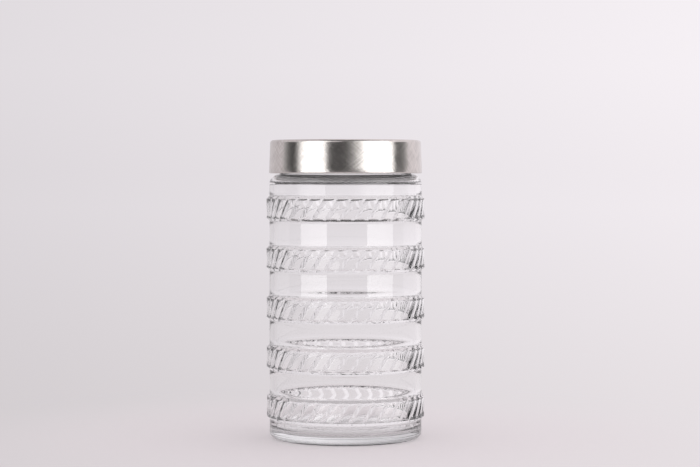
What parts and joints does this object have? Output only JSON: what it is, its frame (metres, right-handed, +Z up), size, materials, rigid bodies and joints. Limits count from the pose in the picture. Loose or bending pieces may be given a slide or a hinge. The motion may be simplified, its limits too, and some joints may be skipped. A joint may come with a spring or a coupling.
{
  "type": "lidded canister",
  "caption": "Tall round clear glass storage canister with raised belts of slanted ribs and a brushed steel screw lid with a plastic insert and a sealing ring.",
  "frame": {"origin": "centre of the foot's resting plane, at the bottom of the jar", "axes": "+Z up along the jar's axis, towards the lid; the jar is round, so +X and +Y are free"},
  "size_m": [0.1, 0.1, 0.1882],
  "materials": {
    "clear_glass": "clear, fire polished",
    "gasket_silicone": "translucent white silicone, matte",
    "insert_plastic": "moulded grey plastic, satin",
    "brushed_steel": "fine diagonal brushing, satin"
  },
  "bodies": {
    "jar": {"glass_jar": "clear_glass"},
    "gasket": {"sealing_gasket": "gasket_silicone"},
    "lid": {"lid_insert": "insert_plastic", "lid_shell": "brushed_steel"}
  },
  "joints": [
    {"name": "lid_rise", "type": "slide", "parent": "jar", "child": "gasket", "axis": [0, 0, 1], "range_m": [0, 0.024]},
    {"name": "lid_turn", "type": "hinge", "parent": "gasket", "child": "lid", "pos_m": [0, 0, 0.1846], "axis": [0, 0, 1], "range_deg": [0, 360]}
  ],
  "couplings": [
    {"joint": "lid_rise", "follows": "lid_turn", "m_per_rad": 0.0038197}
  ]
}
